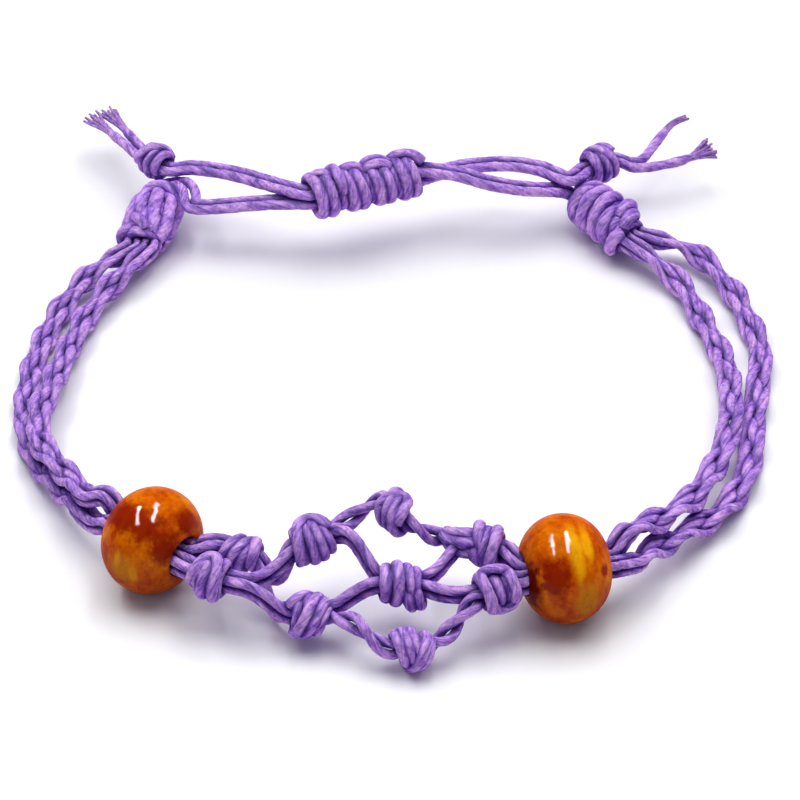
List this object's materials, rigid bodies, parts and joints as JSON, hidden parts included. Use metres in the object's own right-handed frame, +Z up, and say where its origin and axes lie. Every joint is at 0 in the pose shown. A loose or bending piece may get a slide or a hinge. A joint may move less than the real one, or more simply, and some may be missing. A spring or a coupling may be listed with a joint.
{
  "type": "cord bracelet",
  "caption": "Adjustable knotted cord bracelet with an open net for a stone between two round wooden beads, plaited sides and a sliding bar of knots",
  "frame": {"origin": "on the surface it lies on, under the middle of its bounding box", "axes": "+Z up from the surface, +Y from the stone net at the front to the sliding bar at the back, +X from the left plaits to the right ones"},
  "size_m": [0.0744, 0.0852, 0.01],
  "materials": {
    "cord": "purple waxed cotton cord with a soft sheen",
    "bead": "orange and amber wood under clear gloss lacquer"
  },
  "bodies": {
    "root": {"left_bead": "bead", "right_bead": "bead", "left_outer_plait_1": "cord", "left_outer_plait_2": "cord", "left_outer_plait_3": "cord", "left_outer_plait_4": "cord", "left_inner_plait_1": "cord", "left_inner_plait_2": "cord", "left_inner_plait_3": "cord", "left_inner_plait_4": "cord", "right_outer_plait_1": "cord", "right_outer_plait_2": "cord", "right_outer_plait_3": "cord", "right_outer_plait_4": "cord", "right_inner_plait_1": "cord", "right_inner_plait_2": "cord", "right_inner_plait_3": "cord", "right_inner_plait_4": "cord", "net_strand_1": "cord", "net_strand_2": "cord", "net_strand_3": "cord", "net_strand_4": "cord", "net_strand_5": "cord", "net_strand_6": "cord", "net_strand_7": "cord", "net_strand_8": "cord", "net_knot_1": "cord", "net_knot_2": "cord", "net_knot_3": "cord", "net_knot_4": "cord", "net_knot_5": "cord", "net_knot_6": "cord", "net_knot_7": "cord", "net_knot_8": "cord", "net_knot_9": "cord", "left_big_knot": "cord", "right_big_knot": "cord", "sliding_bar": "cord", "left_end_knot": "cord", "right_end_knot": "cord", "left_drawcord_1": "cord", "left_drawcord_2": "cord", "right_drawcord_1": "cord", "right_drawcord_2": "cord"}
  },
  "joints": []
}
